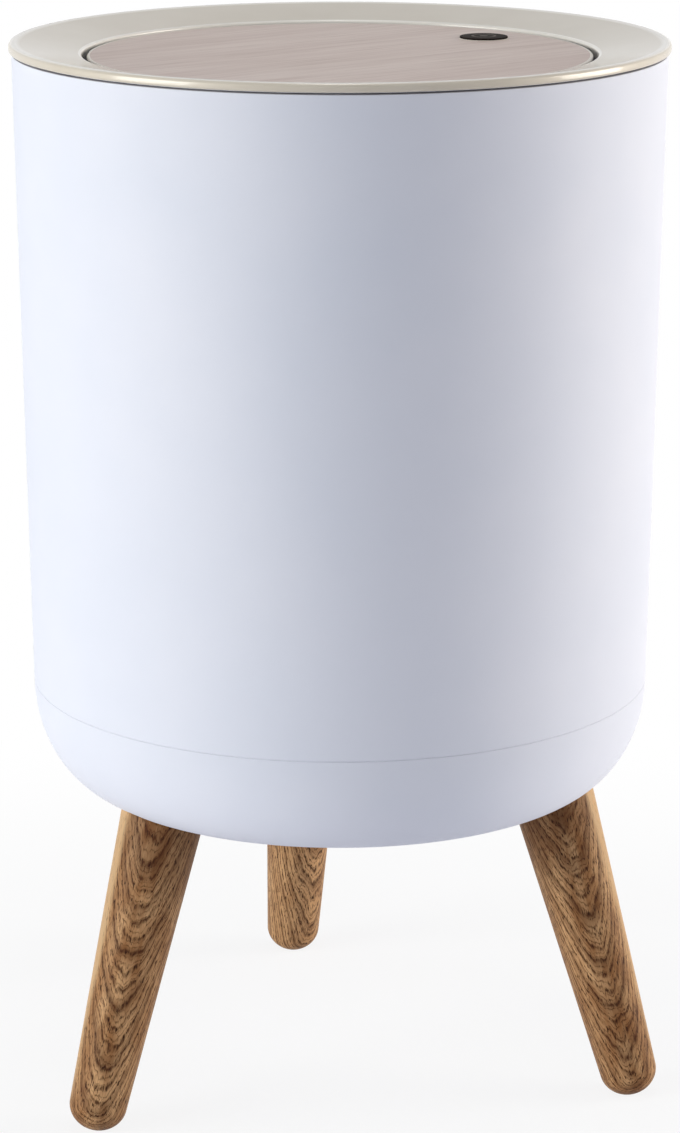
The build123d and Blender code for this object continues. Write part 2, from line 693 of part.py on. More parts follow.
def latch_striker():
    # A T: a plate under the tray and a tongue that ends in a wedge-shaped head.
    half, head, wedge = stem_width / 2, head_width / 2, head_width / 2 - head_taper
    side = Polygon((-half, plate_z), (-half, head_z), (-head, head_z), (-wedge, head_foot_z),
                   (wedge, head_foot_z), (head, head_z), (half, head_z), (half, plate_z), align=None)
    tongue = extrude(Plane.XZ * side, amount=half, both=True)
    plate = block((-striker_plate_width / 2, striker_plate_width / 2),
                  (-striker_plate_depth / 2, striker_plate_depth / 2), (striker_z, plate_z))
    return Pos(0, -latch_reach, 0) * (tongue + plate) - striker_bores(striker_z, plate_z)


def heart_groove():
    # Track of the push-push cam: a loop round a heart whose notch opens upwards.
    # Its corners are shares of the loop's and the heart's own half height and width.
    half_w, half_h = heart_width / 2, heart_height / 2
    loop = Polygon((0, -half_h), (half_w, -half_h / 3), (half_w, half_h / 2), (0, half_h),
                   (-half_w, half_h / 2), (-half_w, -half_h / 3), align=None)
    inner_w, inner_h = half_w - groove_width, half_h - 1.5 * groove_width
    heart = Polygon((0, -inner_h), (inner_w, -inner_h / 4), (inner_w, inner_h), (0, inner_h / 3),
                    (-inner_w, inner_h), (-inner_w, -inner_h / 4), align=None)
    return loop - heart


def heart_notch_z():
    inner_h = heart_height / 2 - 1.5 * groove_width
    return slider_middle_z + inner_h / 3 + cam_wire + cam_gap


def latch_slider():
    half_w, half_d = slider_width / 2, slider_depth / 2
    slider = block((-half_w, half_w), (-half_d, half_d), (slider_foot_z, slider_z))
    slider = chamfer(slider.edges().filter_by(Axis.Z), slider_edge)
    front = Plane(origin=(0, -half_d, slider_middle_z), x_dir=(1, 0, 0), z_dir=(0, -1, 0))
    slider -= extrude(front * heart_groove(), amount=-groove_depth)
    slider -= upright(slider_bore_radius, slider_foot_z, slider_foot_z + slider_bore_depth,
                      y=slider_bore_back)
    return Pos(0, -latch_reach, 0) * slider


def latch_jaws():
    # Sprung jaws on the slider: two arms hook over the striker's head, a pad carries it.
    barb_z = head_z + jaw_lift
    tip_z = barb_z + barb_height
    catch = stem_width / 2 + barb_gap
    arm = Polygon((jaw_inner, slider_z), (jaw_inner, barb_z), (catch, barb_z), (jaw_inner, tip_z),
                  (jaw_outer, tip_z), (jaw_outer, slider_z), align=None)
    pad = Pos(0, (slider_z + head_foot_z) / 2) * Rectangle(jaw_pad_width, head_foot_z - slider_z)
    base = Pos(0, slider_z + jaw_base / 2) * Rectangle(2 * jaw_outer, jaw_base)
    shape = Plane.XZ * (arm + mirror(arm, about=Plane.YZ) + pad + base)
    return Pos(0, -latch_reach, 0) * extrude(shape, amount=jaw_depth / 2, both=True)


def screw_place(x):
    return Pos(x, -latch_reach, ledge_z)


def latch_housing():
    top = ledge_foot_z
    half_w, half_d = slider_width / 2 + slide_gap, slider_depth / 2 + slide_gap
    front, channel = half_d + channel_depth, heart_width / 2 + channel_side
    case = block((-half_w - housing_wall, half_w + housing_wall),
                 (-front - housing_wall, half_d + housing_wall), (housing_foot_z, top))
    case = chamfer(case.edges().filter_by(Axis.Z), housing_edge)
    case += block((-ear_reach, ear_reach), (-ear_boss_radius, ear_boss_radius), (top - housing_ear, top))
    case += [upright(ear_boss_radius, top - ear_boss_height, top, x=x) for x in (-ear_reach, ear_reach)]
    case -= block((-half_w, half_w), (-half_d, half_d), (housing_floor_z, top))
    case -= block((-channel, channel), (-front, 0), (housing_floor_z, top))
    bore_z = ledge_z - latch_screw["length"] - bore_spare
    case -= [upright(latch_screw["shank"] + screw_gap, bore_z, top, x=x) for x in (-ear_reach, ear_reach)]
    case -= upright(cam_wire + press_gap, housing_foot_z, housing_floor_z, y=-front + channel_depth / 2)
    return Pos(0, -latch_reach, 0) * case


def latch_screws():
    flipped = Rot(180, 0, 0) * Pos(0, 0, latch_screw["head_height"]) * screw(latch_screw, 0, flat=True)
    return grouped([screw_place(x) * flipped for x in (-ear_reach, ear_reach)])


def latch_spring():
    low = housing_floor_z + latch_coil_wire
    high = slider_foot_z + slider_bore_depth - latch_coil_wire
    coil = Edge.make_helix((high - low) / latch_coil_turns, high - low, latch_coil_radius)
    section = Plane(origin=coil @ 0, z_dir=coil % 0) * Circle(latch_coil_wire)
    return Pos(0, slider_bore_back - latch_reach, low) * sweep(section, path=Wire([coil]), is_frenet=True)


def latch_cam_pin():
    stem_y = -(slider_depth / 2 + slide_gap + channel_depth / 2)
    tip_y = -slider_depth / 2 + groove_depth - cam_gap
    tip_z = heart_notch_z()
    corner, foot = Vector(0, stem_y, tip_z), Vector(0, stem_y, housing_foot_z)
    wire = rod(foot, corner, cam_wire) + rod(corner, Vector(0, tip_y, tip_z), cam_wire)
    return Pos(0, -latch_reach, 0) * (wire + Pos(*corner) * Sphere(cam_wire))


def grouped(shapes):
    return Compound(children=[solid for shape in shapes for solid in shape.solids()])


def screws_at(places, kind, seat_z):
    return grouped([place * screw(kind, seat_z) for place in places])


parts = {
    "outer_barrel": outer_barrel(),
    "base_bowl": base_bowl(),
    "leg_studs": grouped([leg_stud(angle) for angle in leg_angles.values()]),
    "leg_inserts": grouped([leg_insert(angle) for angle in leg_angles.values()]),
    "liner_bucket": liner_bucket(),
    "lid_ring": lid_ring(),
    "lid_underframe": lid_underframe(),
    "ring_screws": screws_at(ring_post_places(), ring_screw, ring_post_z - boss_floor),
    "flap_buffers": grouped([flap_buffer(angle) for angle in buffer_angles]),
    "hinge_pin": hinge_pin(),
    "hinge_spring": hinge_spring(),
    "flap_panel": flap_panel(),
    "flap_tray": flap_tray(),
    "push_badge": push_badge(),
    "flap_screws": screws_at(panel_post_places(), flap_screw, tray_z - panel_post_length - boss_floor),
    "latch_striker": latch_striker(),
    "latch_housing": latch_housing(),
    "latch_slider": latch_slider(),
    "latch_jaws": latch_jaws(),
    "latch_spring": latch_spring(),
    "latch_cam_pin": latch_cam_pin(),
    "latch_screws": latch_screws(),
}
for name, angle in leg_angles.items():
    parts[name] = leg(angle)
striker_places = [Pos(x, -latch_reach, 0) for x in striker_screw_places()]
parts["striker_screws"] = screws_at(striker_places, striker_screw, striker_z)

os.makedirs("parts", exist_ok=True)
for name, shape in parts.items():
    export_step(shape, f"parts/{name}.step")
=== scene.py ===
from math import acos, cos, pi, radians, sin, tan
import bmesh
import bpy
from mathutils import Matrix, Vector


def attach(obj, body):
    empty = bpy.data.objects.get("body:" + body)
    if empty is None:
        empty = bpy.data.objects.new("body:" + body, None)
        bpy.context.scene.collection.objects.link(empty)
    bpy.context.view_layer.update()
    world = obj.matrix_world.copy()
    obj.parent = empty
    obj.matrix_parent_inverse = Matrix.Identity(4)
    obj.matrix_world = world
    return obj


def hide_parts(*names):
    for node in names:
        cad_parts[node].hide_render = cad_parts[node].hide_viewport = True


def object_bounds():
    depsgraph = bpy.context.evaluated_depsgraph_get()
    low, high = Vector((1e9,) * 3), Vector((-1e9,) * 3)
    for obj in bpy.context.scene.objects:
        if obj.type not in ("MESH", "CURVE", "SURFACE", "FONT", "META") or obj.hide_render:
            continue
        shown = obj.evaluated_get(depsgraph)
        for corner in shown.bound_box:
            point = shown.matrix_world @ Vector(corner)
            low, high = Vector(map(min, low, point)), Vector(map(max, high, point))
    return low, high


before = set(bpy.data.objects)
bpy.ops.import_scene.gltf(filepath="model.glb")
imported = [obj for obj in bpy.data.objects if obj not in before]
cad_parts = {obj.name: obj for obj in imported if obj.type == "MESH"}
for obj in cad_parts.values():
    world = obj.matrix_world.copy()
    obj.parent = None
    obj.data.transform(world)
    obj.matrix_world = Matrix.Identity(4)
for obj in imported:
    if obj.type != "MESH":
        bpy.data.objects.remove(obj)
cadLow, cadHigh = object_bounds()
mm = 0.001

# Camera and light

viewpoint = {
    "roundTheBin": 140.3,       # degrees from +X, so the rear leg stands at the left
    "standOff": 1.349,          # metres from the bin's axis
    "eyeHeight": 0.5515,
    "lookDown": 14.96,          # degrees
    "lens": 120.45,             # mm
    "sensor": 36,               # mm, its long side upright
}

studio = {
    # turn: degrees to the right of the camera, height: degrees, level: how bright it leaves a white card,
    # size: metres across
    "leftLamp": {"turn": -65, "height": 10, "level": 0.8, "size": 1.3, "colour": "#FFFFFC"},
    "rightLamp": {"turn": 94, "height": 10, "level": 0.86, "size": 1.3, "colour": "#FFF9F1"},
    "topLamp": {"turn": 0, "height": 90, "level": 0.18, "size": 0.6, "colour": "#FFFDF9"},
    "lampDistance": 2.4,        # metres
    "fill": 0.18,               # even light from the room
    "fillColour": "#CEDAFD",
    "floorRadius": 1.6, "floorSides": 96,
    "floorColour": "#FFFFFF",
    "floorBounce": "#EDEFF8",   # what the bin sees of the floor
    "floorLift": 0.86,          # how far the floor is brought towards plain white, under its shadow
    "plainFrom": 0.14, "plainTo": 0.42,     # metres from its middle, where it runs out into plain white
    "floorDrop": 0.05,          # mm below the feet
}


def linear(code):
    # an sRGB hex colour as linear RGBA
    shares = [int(code[i:i + 2], 16) / 255 for i in (1, 3, 5)]
    return [*(s / 12.92 if s <= 0.04045 else ((s + 0.055) / 1.055) ** 2.4 for s in shares), 1.0]


def addNode(tree, kind, settings=None, inputs=None):
    # inputs: a socket is linked, anything else is set
    node = tree.nodes.new(kind)
    for name, value in (settings or {}).items():
        setattr(node, name, value)
    for name, value in (inputs or {}).items():
        if isinstance(value, bpy.types.NodeSocket):
            tree.links.new(value, node.inputs[name])
        else:
            node.inputs[name].default_value = value
    return node


def aroundBin(turn, reach, height):
    # turn: degrees to the right of the camera
    angle = radians(viewpoint["roundTheBin"] + turn)
    return Vector((reach * cos(angle), reach * sin(angle), height))


def placeCamera():
    camera = bpy.data.objects.new("camera", bpy.data.cameras.new("camera"))
    bpy.context.scene.collection.objects.link(camera)
    camera.data.lens = viewpoint["lens"]
    camera.data.sensor_width = viewpoint["sensor"]
    camera.location = aroundBin(0, viewpoint["standOff"], viewpoint["eyeHeight"])
    camera.rotation_euler = (radians(90 - viewpoint["lookDown"]), 0, radians(viewpoint["roundTheBin"] + 90))
    bpy.context.scene.camera = camera


def placeLamp(name):
    lamp = studio[name]
    distance = studio["lampDistance"]
    data = bpy.data.lights.new(name, "AREA")
    data.size = lamp["size"]
    data.color = linear(lamp["colour"])[:3]
    data.energy = lamp["level"] * pi ** 2 * distance ** 2       # watts that leave a white card at that level
    body = bpy.data.objects.new(name, data)
    bpy.context.scene.collection.objects.link(body)
    height = radians(lamp["height"])
    target = Vector((0, 0, (cadLow.z + cadHigh.z) / 2))
    body.location = target + aroundBin(lamp["turn"], distance * cos(height), distance * sin(height))
    body.rotation_euler = (body.location - target).to_track_quat("Z", "Y").to_euler()


def seenDirectly(tree):
    # 1 for the camera, mirrors and glass, 0 for light that falls on the bin
    path = addNode(tree, "ShaderNodeLightPath")
    either = addNode(tree, "ShaderNodeMath", {"operation": "MAXIMUM"},
                     {0: path.outputs["Is Camera Ray"], 1: path.outputs["Is Glossy Ray"]})
    return addNode(tree, "ShaderNodeMath", {"operation": "MAXIMUM"},
                   {0: either.outputs[0], 1: path.outputs["Is Transmission Ray"]}).outputs[0]


def lightRoom():
    world = bpy.data.worlds.new("room")
    bpy.context.scene.world = world
    world.use_nodes = True
    tree = world.node_tree
    tree.nodes.clear()
    fill = addNode(tree, "ShaderNodeBackground", None,
                   {"Color": linear(studio["fillColour"]), "Strength": studio["fill"]})
    white = addNode(tree, "ShaderNodeBackground", None, {"Color": (1, 1, 1, 1), "Strength": 1.0})
    mix = addNode(tree, "ShaderNodeMixShader", None,
                  {0: seenDirectly(tree), 1: fill.outputs[0], 2: white.outputs[0]})
    addNode(tree, "ShaderNodeOutputWorld", None, {"Surface": mix.outputs[0]})


def layFloor():
    # A pale floor that keeps the shadow and runs out into plain white.
    material = bpy.data.materials.new("paleFloor")
    material.use_nodes = True
    tree = material.node_tree
    tree.nodes.clear()
    direct = seenDirectly(tree)
    lifts = addNode(tree, "ShaderNodeMath", {"operation": "MULTIPLY"},
                    {0: direct, 1: studio["floorLift"]}).outputs[0]
    colour = addNode(tree, "ShaderNodeMix", {"data_type": "RGBA"},
                     {0: direct, 6: linear(studio["floorBounce"]), 7: linear(studio["floorColour"])})
    matt = addNode(tree, "ShaderNodeBsdfDiffuse", None, {"Color": colour.outputs[2]})
    lift = addNode(tree, "ShaderNodeEmission", None, {"Color": (1, 1, 1, 1), "Strength": direct})
    lifted = addNode(tree, "ShaderNodeMixShader", None, {0: lifts, 1: matt.outputs[0], 2: lift.outputs[0]})
    place = addNode(tree, "ShaderNodeTexCoord")
    far = addNode(tree, "ShaderNodeVectorMath", {"operation": "LENGTH"}, {0: place.outputs["Object"]})
    fade = addNode(tree, "ShaderNodeMapRange", {"interpolation_type": "SMOOTHSTEP"},
                   {"Value": far.outputs["Value"], "From Min": studio["plainFrom"],
                    "From Max": studio["plainTo"]})
    clear = addNode(tree, "ShaderNodeMath", {"operation": "MULTIPLY"}, {0: fade.outputs[0], 1: direct})
    white = addNode(tree, "ShaderNodeEmission", None, {"Color": (1, 1, 1, 1), "Strength": 1.0})
    mix = addNode(tree, "ShaderNodeMixShader", None,
                  {0: clear.outputs[0], 1: lifted.outputs[0], 2: white.outputs[0]})
    addNode(tree, "ShaderNodeOutputMaterial", None, {"Surface": mix.outputs[0]})
    mesh = bpy.data.meshes.new("floor")
    form = bmesh.new()
    bmesh.ops.create_circle(form, cap_ends=True, segments=studio["floorSides"],
                             radius=studio["floorRadius"])
    form.to_mesh(mesh)
    form.free()
    mesh.materials.append(material)
    floor = bpy.data.objects.new("floor", mesh)
    floor.location.z = cadLow.z - studio["floorDrop"] * mm
    bpy.context.scene.collection.objects.link(floor)


placeCamera()
placeLamp("leftLamp")
placeLamp("rightLamp")
placeLamp("topLamp")
lightRoom()
layFloor()
bpy.context.scene.view_settings.view_transform = "Standard"
print("camera, lamps and floor are in place")

# Finishes


def newMaterial(name):
    material = bpy.data.materials.new(name)
    material.use_nodes = True
    tree = material.node_tree
    tree.nodes.clear()
    shader = addNode(tree, "ShaderNodeBsdfPrincipled")
    addNode(tree, "ShaderNodeOutputMaterial", None, {"Surface": shader.outputs[0]})
    return material, tree, shader


def inMillimetres(tree, attribute=None, stretch=(1, 1, 1)):
    # the surface's own place in mm, drawn out along each axis
    if attribute:
        place = addNode(tree, "ShaderNodeAttribute", {"attribute_name": attribute}).outputs["Vector"]
    else:
        place = addNode(tree, "ShaderNodeTexCoord").outputs["Object"]
    scale = [1 / mm / share for share in stretch]
    return addNode(tree, "ShaderNodeMapping", None, {"Vector": place, "Scale": scale}).outputs[0]


def grainNoise(tree, place, size, detail=2.0, rough=0.5, twist=0.0):
    # noise whose blobs are about size across, in the units of place
    node = addNode(tree, "ShaderNodeTexNoise", None,
                   {"Vector": place, "Scale": 1 / size, "Detail": detail, "Roughness": rough,
                    "Distortion": twist})
    return node.outputs["Fac"]


def spread(tree, value, fromLow, fromHigh, toLow, toHigh):
    return addNode(tree, "ShaderNodeMapRange", None,
                   {"Value": value, "From Min": fromLow, "From Max": fromHigh, "To Min": toLow,
                    "To Max": toHigh}).outputs[0]


def noiseSpread(tree, noise, toLow, toHigh):
    # noise keeps mostly between 0.3 and 0.7
    return spread(tree, noise, 0.3, 0.7, toLow, toHigh)


def between(tree, share, first, second):
    # a colour between two, each a hex code or a socket
    start, end = (c if isinstance(c, bpy.types.NodeSocket) else linear(c) for c in (first, second))
    return addNode(tree, "ShaderNodeMix", {"data_type": "RGBA"}, {0: share, 6: start, 7: end}).outputs[2]


def reckon(tree, operation, first, second=0.0):
    return addNode(tree, "ShaderNodeMath", {"operation": operation}, {0: first, 1: second}).outputs[0]


def acrossReach(tree):
    # mm from the bin's axis
    place = addNode(tree, "ShaderNodeVectorMath", {"operation": "MULTIPLY"},
                    {0: inMillimetres(tree), 1: (1, 1, 0)}).outputs[0]
    return addNode(tree, "ShaderNodeVectorMath", {"operation": "LENGTH"}, {0: place}).outputs["Value"]


def upright(tree, place):
    return addNode(tree, "ShaderNodeSeparateXYZ", None, {0: place}).outputs["Z"]


def roughened(tree, shader, noise, roughness, smoother=0.04, rougher=0.04):
    tree.links.new(noiseSpread(tree, noise, roughness - smoother, roughness + rougher),
                   shader.inputs["Roughness"])


def raised(tree, shader, height, depth):
    # depth in mm from the lowest to the highest of the pattern
    bump = addNode(tree, "ShaderNodeBump", None,
                   {"Height": height, "Strength": 1.0, "Distance": depth * mm})
    tree.links.new(bump.outputs[0], shader.inputs["Normal"])


mouldings = {
    # colour, its darker tone, roughness, grain of the mould in mm (drawn coarse enough to show), its depth
    "palePolypropylene": ("#D3D4D6", "#CBCCD0", 0.45, 1.1, 0.012),  # liner: slightly waxy
    "whiteAbs": ("#E4E5E8", "#DDDEE3", 0.48, 0.8, 0.008),           # hidden frames
    "greyAcetal": ("#74777B", "#6B6E73", 0.38, 0.6, 0.006),         # latch housing
    "whiteAcetal": ("#E0DDD4", "#D8D4CA", 0.34, 0.6, 0.005),        # sliding pieces, slightly slick
    "softRubber": ("#3E3E40", "#343437", 0.75, 0.8, 0.015),         # stops, dry and dull
}
mouldingCloud = 35.0        # mm across the faint clouds in their tone


def mouldedPlastic(name):
    colour, darker, roughness, grain, depth = mouldings[name]
    material, tree, shader = newMaterial(name)
    place = inMillimetres(tree)
    clouds = grainNoise(tree, place, mouldingCloud)
    fine = grainNoise(tree, place, grain, 3.0, 0.6)
    tree.links.new(between(tree, noiseSpread(tree, clouds, 0, 1), darker, colour),
                   shader.inputs["Base Color"])
    roughened(tree, shader, fine, roughness)
    raised(tree, shader, fine, depth)
    return material


shellFinish = {
    "colour": "#EBEDF3", "darker": "#E7EAF1", "cloud": 45.0,    # mm across the clouds of the darker tone
    "roughness": 0.68, "gloss": 0.22,
    "grain": 0.9, "grainDepth": 0.010,      # mm
    "seamHeight": 152.0, "seamHalf": 0.36,  # mm, the fine line of painted shade where the barrel sits on the bowl
    "seamCore": 0.6, "seamShadeColour": "#E4E6ED",   # the share of it that is full strength
    "mouthHeight": 380.95, "mouthFade": 0.2, "mouthShadowColour": "#85848A",  # mm, the painted shadow line under the ring
}


def mattShell():
    # ABS from a spark-eroded mould: dead matt, no glints, with painted shade in the seam's groove and a
    # painted shadow line under the ring.
    material, tree, shader = newMaterial("sparkErodedAbs")
    place = inMillimetres(tree)
    clouds = noiseSpread(tree, grainNoise(tree, place, shellFinish["cloud"]), 0, 1)
    fine = grainNoise(tree, place, shellFinish["grain"], 3.0, 0.6)
    tone = between(tree, clouds, shellFinish["darker"], shellFinish["colour"])
    height = upright(tree, place)
    away = reckon(tree, "ABSOLUTE", reckon(tree, "SUBTRACT", height, shellFinish["seamHeight"]))
    half = shellFinish["seamHalf"]
    # painted shade: the seam's groove is coloured darker, where shade falls in it
    seamShade = spread(tree, away, half * shellFinish["seamCore"], half, 1, 0)
    tone = between(tree, seamShade, tone, shellFinish["seamShadeColour"])
    mouthHeight = shellFinish["mouthHeight"]
    # painted shadow: a dark line along the barrel's top edge, where the ring shades it
    mouthShadow = spread(tree, height, mouthHeight, mouthHeight + shellFinish["mouthFade"], 0, 1)
    tree.links.new(between(tree, mouthShadow, tone, shellFinish["mouthShadowColour"]), shader.inputs["Base Color"])
    roughened(tree, shader, fine, shellFinish["roughness"])
    shader.inputs["Specular IOR Level"].default_value = shellFinish["gloss"]
    raised(tree, shader, fine, shellFinish["grainDepth"])
    return material


ringPaint = {
    "colour": "#D5CCBA", "darker": "#CFC5B2", "cloud": 30.0,    # mm across the clouds of the darker tone
    "edgeHighlight": "#FAF6EC", "edgeHighlightShare": 0.85,       # along the two edges, a painted highlight
    "lipReach": 92.7, "crestHeight": 384.6, "edgeHighlightFade": 0.3,    # mm
    "metallic": 0.08, "roughness": 0.42, "gloss": 0.22,
    "lacquer": 0.7, "lacquerRoughness": 0.12,
    "flake": 0.45, "flakeDepth": 0.004,     # mm
}


def champagnePaint():
    # Sprayed metallic paint under clear lacquer: soft sheen, with a painted highlight, a paler colour, along
    # the rounded lip and crest.
    material, tree, shader = newMaterial("champagneMetallicPaint")
    place = inMillimetres(tree)
    clouds = noiseSpread(tree, grainNoise(tree, place, ringPaint["cloud"]), 0, 1)
    flakes = grainNoise(tree, place, ringPaint["flake"], 2.0, 0.7)
    tone = between(tree, clouds, ringPaint["darker"], ringPaint["colour"])
    fade = ringPaint["edgeHighlightFade"]
    # painted highlight: a paler colour along the lip and along the crest
    lip = spread(tree, acrossReach(tree), ringPaint["lipReach"], ringPaint["lipReach"] + fade, 1, 0)
    crestHeight = ringPaint["crestHeight"]
    crest = spread(tree, upright(tree, place), crestHeight, crestHeight + fade, 0, 1)
    edgeHighlight = reckon(tree, "MULTIPLY", reckon(tree, "MAXIMUM", lip, crest), ringPaint["edgeHighlightShare"])
    tree.links.new(between(tree, edgeHighlight, tone, ringPaint["edgeHighlight"]), shader.inputs["Base Color"])
    roughened(tree, shader, flakes, ringPaint["roughness"], 0.05, 0.05)
    shader.inputs["Metallic"].default_value = ringPaint["metallic"]
    shader.inputs["Specular IOR Level"].default_value = ringPaint["gloss"]
    shader.inputs["Coat Weight"].default_value = ringPaint["lacquer"]
    shader.inputs["Coat Roughness"].default_value = ringPaint["lacquerRoughness"]
    raised(tree, shader, flakes, ringPaint["flakeDepth"])
    return material


metals = {
    # colour, roughness, how fine its marks are in mm along x, y and z, their depth
    "turnedBrass": ("#D9B36A", 0.28, (6.0, 6.0, 0.3), 0.004),   # inserts: turning marks round them
    "zincSteel": ("#BFC3C8", 0.34, (0.9, 0.9, 0.9), 0.004),     # screws and pins: plated, faintly mottled
    "springWire": ("#A9ACB0", 0.27, (0.5, 0.5, 4.0), 0.003),    # drawn wire
}


def bareMetal(name):
    colour, roughness, marks, depth = metals[name]
    material, tree, shader = newMaterial(name)
    place = inMillimetres(tree, stretch=marks)
    lines = grainNoise(tree, place, 1.0, 3.0, 0.6)
    shader.inputs["Metallic"].default_value = 1.0
    shader.inputs["Base Color"].default_value = linear(colour)
    roughened(tree, shader, lines, roughness, 0.07, 0.07)
    raised(tree, shader, lines, depth)
    return material


flapFilm = {
    "base": "#D3BEB2", "dark": "#B39B8C", "light": "#E0CEC2",
    "edge": "#F3EBDD",      # bare cream ABS where the film stops, at the rounded edge; its pale rim is also a painted highlight
    "reach": 88.7, "fade": 0.15,    # mm, where the film stops
    "topFace": 379.7,       # mm, and only the top face has it
    "streak": (0.9, 46.0, 20.0),    # mm across, along and through a fine streak
    "streakShare": (0.50, 0.70, 0, 0.6),    # the part of its noise that counts, and what it comes to
    "streakDepth": 0.01,    # mm
    "band": (8.0, 170.0, 20.0),     # and a broad, wavy band
    "bandShare": (0.35, 0.65, 0, 1), "bandWave": 0.8,
    "roughness": 0.46, "gloss": 0.4,
}


def printedWood():
    # A printed pale ash film on the flap, its grain running from the hinge to the push mark.
    material, tree, shader = newMaterial("printedAshFilm")
    bands = grainNoise(tree, inMillimetres(tree, stretch=flapFilm["band"]), 1.0, 2.0, 0.5,
                       flapFilm["bandWave"])
    streaks = grainNoise(tree, inMillimetres(tree, stretch=flapFilm["streak"]), 1.0, 4.0, 0.65)
    tone = between(tree, spread(tree, bands, *flapFilm["bandShare"]), flapFilm["base"], flapFilm["light"])
    tone = between(tree, spread(tree, streaks, *flapFilm["streakShare"]), tone, flapFilm["dark"])
    # the film stops short of the rounded edge, and below it the panel is bare; the pale rim there is also a
    # painted highlight on the rounded edge
    past = spread(tree, acrossReach(tree), flapFilm["reach"], flapFilm["reach"] + flapFilm["fade"], 0, 1)
    below = reckon(tree, "LESS_THAN", upright(tree, inMillimetres(tree)), flapFilm["topFace"])
    bareAndHighlit = reckon(tree, "MAXIMUM", past, below)
    tree.links.new(between(tree, bareAndHighlit, tone, flapFilm["edge"]), shader.inputs["Base Color"])
    roughened(tree, shader, streaks, flapFilm["roughness"], 0.05, 0.06)
    shader.inputs["Specular IOR Level"].default_value = flapFilm["gloss"]
    raised(tree, shader, streaks, flapFilm["streakDepth"])
    return material


badgeFinish = {
    # colour and roughness of the disc, the mark on it and the rim round it
    "disc": ("#1E1511", 0.6), "mark": ("#5E5650", 0.5), "rim": ("#E9DFD0", 0.4),
    "gloss": 0.03,
    "fleck": 0.5, "fleckDepth": 0.004, "fleckShare": 0.12,      # mm, mm, how much black is in them
}


def badgePlastic(name, part):
    # Moulded ABS with little gloss, tampo-printed where its mark is.
    colour, roughness = badgeFinish[part]
    material, tree, shader = newMaterial(name)
    flecks = grainNoise(tree, inMillimetres(tree), badgeFinish["fleck"], 2.0, 0.6)
    black = noiseSpread(tree, flecks, 0, badgeFinish["fleckShare"])
    tree.links.new(between(tree, black, colour, "#000000"), shader.inputs["Base Color"])
    roughened(tree, shader, flecks, roughness)
    shader.inputs["Specular IOR Level"].default_value = badgeFinish["gloss"]
    raised(tree, shader, flecks, badgeFinish["fleckDepth"])
    return material


legGrain = {
    "ringGap": 1.25,        # mm between growth rings, from the leg's face inwards
    "fineGap": 0.45, "fineStrength": 0.7,       # the finer lines among them
    "bandGap": 3.6, "bandStrength": 0.4,        # the broad, soft bands
    "lineShare": 0.9,       # how dark the lines are
    "rise": 0.15,           # how fast the rings climb along the leg, which draws the V shapes
    "wander": 1.6,          # mm that the rings stray, slowly
    "ripple": 0.5,          # and quickly
    "light": "#DEB07D", "mid": "#99693F", "ringLine": "#431D08", "pore": "#2A1103",
    "flankFrom": 3.0, "flankTo": 8.0, "flankShare": 0.3,    # mm from its middle, lighter towards the sides
    "sapwood": "#D0AF84",   # pale strip down one side
    "sapFrom": 9.4, "sapTo": 11.6, "sapShare": 0.9,         # mm from its middle, sideways
    "sapWander": 3.0,       # mm that its inner edge strays
    "darkFrom": 74.0, "darkTo": 112.0, "darkShare": 0.68,   # mm up the leg, darker towards its socket: partly painted shade under the bowl, partly darker figure
    "darkWander": 40.0,     # mm that its edge strays
    "poreGather": 0.09, "sapPores": 0.3,        # more pores in the rings' lines, and fewer in the sapwood
    "roughness": 0.5, "gloss": 0.1,
    "relief": 0.03,         # mm from fibre to pore
}

legNoise = {
    # mm across the leg, mm along it, detail, roughness
    "wander": (9.0, 36.0, 1.0, 0.5),
    "ripple": (2.0, 6.0, 2.0, 0.6),
    "breaks": (1.3, 3.38, 2.0, 0.5),    # where a ring line fades
    "fibres": (0.45, 16.0, 3.0, 0.6),
    "blotches": (6.0, 18.0, 2.0, 0.5),
    "pores": (0.36, 2.4, 1.0, 0.5),
}

woodShare = {
    # the part of a noise that counts, and what it comes to at either end
    "breaks": (0.36, 0.58, 0.3, 1),
    "blotches": (0.35, 0.65, 0, 1),
    "fibres": (0.40, 0.70, 0, 0.55), "sapFibres": (0.42, 0.66, 0, 0.7),
    "pores": (0.65, 0.71, 0, 0.9),
}

ringShade = {
    # how dark a ring is, from its start to its end
    "start": 0.15, "end": 0.20,
    "between": ((0.18, 0.0), (0.58, 0.12), (0.80, 1.0), (0.90, 0.95)),
}


